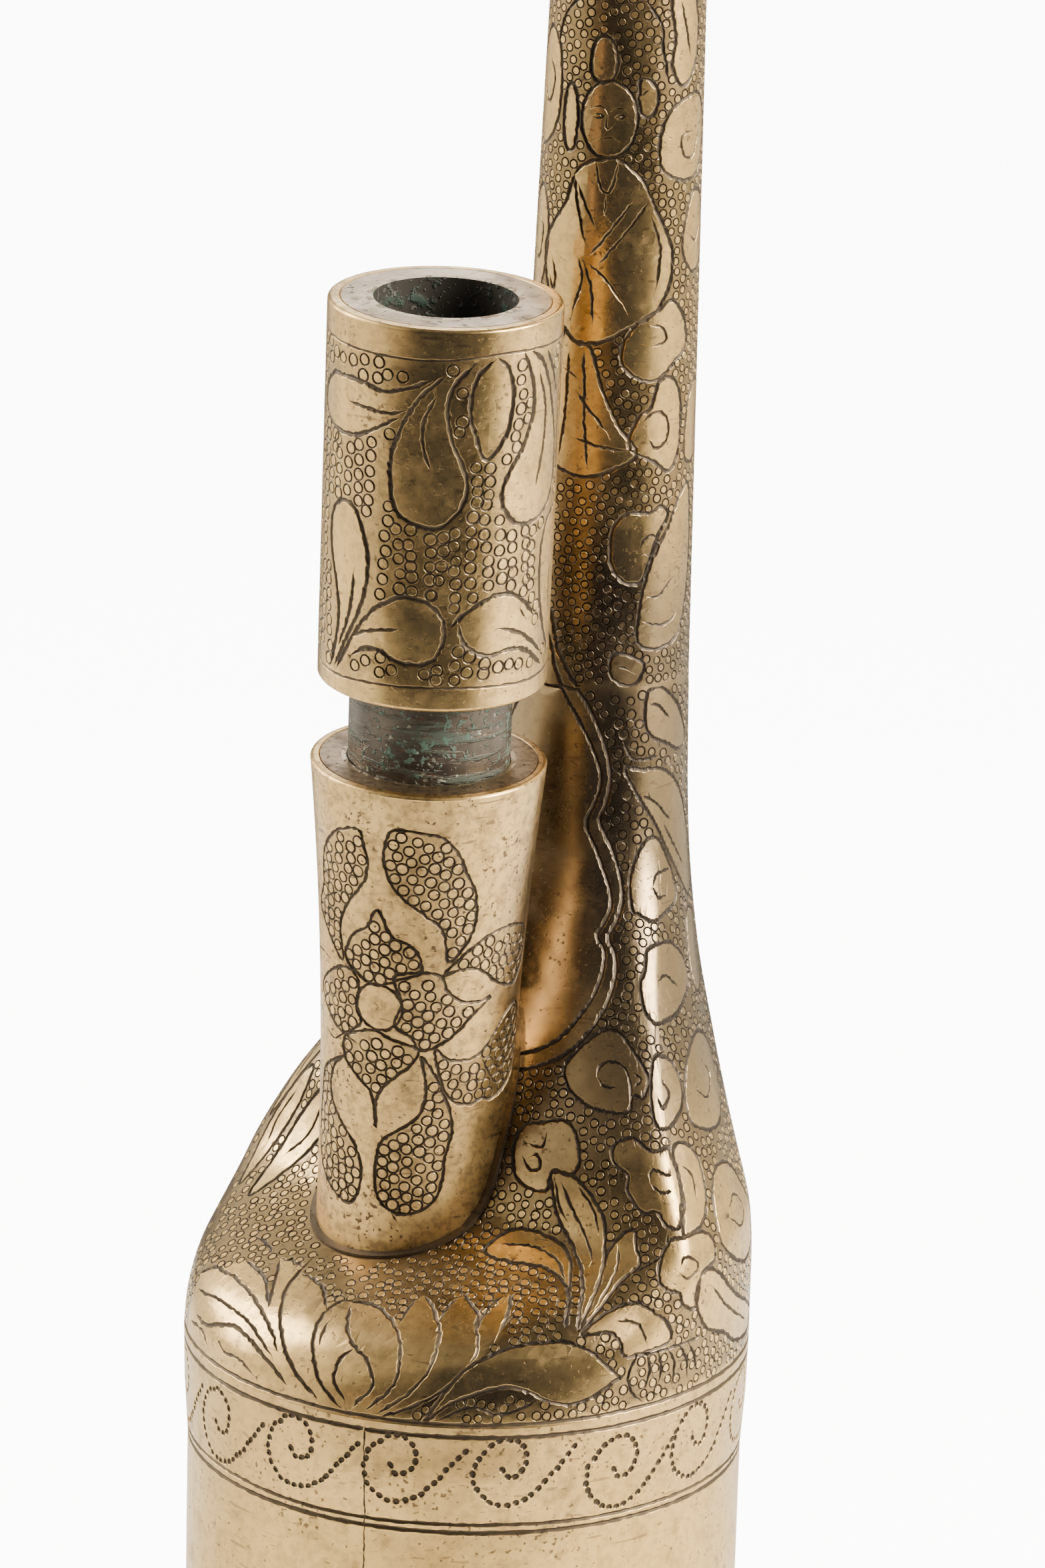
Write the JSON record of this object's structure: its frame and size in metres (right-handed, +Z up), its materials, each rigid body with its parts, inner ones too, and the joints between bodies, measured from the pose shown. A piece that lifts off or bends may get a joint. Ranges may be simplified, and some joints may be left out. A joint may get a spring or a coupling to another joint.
{
  "type": "water pipe",
  "caption": "Engraved brass water pipe: round reservoir, tall off-centre neck, leaning socket and a lift-out bowl on a copper stem.",
  "frame": {"origin": "centre of the base, on the surface the pipe stands on", "axes": "+Z up along the reservoir's axis, -Y towards the socket, +Y towards the neck"},
  "size_m": [0.0708, 0.0708, 0.3511],
  "materials": {
    "body_brass": "polished by handling, engraved, dark patina in the lines",
    "plain_brass": "worn, fine scratches",
    "socket_brass": "worn, speckled with tarnish",
    "bowl_brass": "tarnished, greyish brown",
    "dark_brass": "soot and verdigris",
    "seam_brazing": "brazing, reddish brown",
    "solder": "dull grey solder",
    "stem_copper": "copper, blackened with verdigris"
  },
  "bodies": {
    "reservoir": {"base_plate": "plain_brass", "foot_ring": "plain_brass", "body_tube": "body_brass", "body_seam": "seam_brazing", "shoulder": "body_brass", "neck_tube": "body_brass", "mouth_ring": "plain_brass", "socket_sleeve": "socket_brass", "socket_collar": "socket_brass", "socket_liner": "dark_brass", "socket_solder": "solder"},
    "stem": {"stem_tube": "stem_copper"},
    "bowl": {"bowl_sleeve": "bowl_brass", "bowl_top_ring": "bowl_brass", "bowl_bottom_ring": "bowl_brass", "bowl_liner": "dark_brass", "draught_plate": "dark_brass"}
  },
  "joints": [
    {"name": "stem_slide", "type": "slide", "parent": "reservoir", "child": "stem", "axis": [0.0644, -0.0576, 0.9963], "range_m": [-0.0102, 0.137]},
    {"name": "bowl_turn", "type": "hinge", "parent": "stem", "child": "bowl", "pos_m": [0.00067, -0.0106, 0.18036], "axis": [0.0644, -0.0576, 0.9963], "continuous": true}
  ]
}
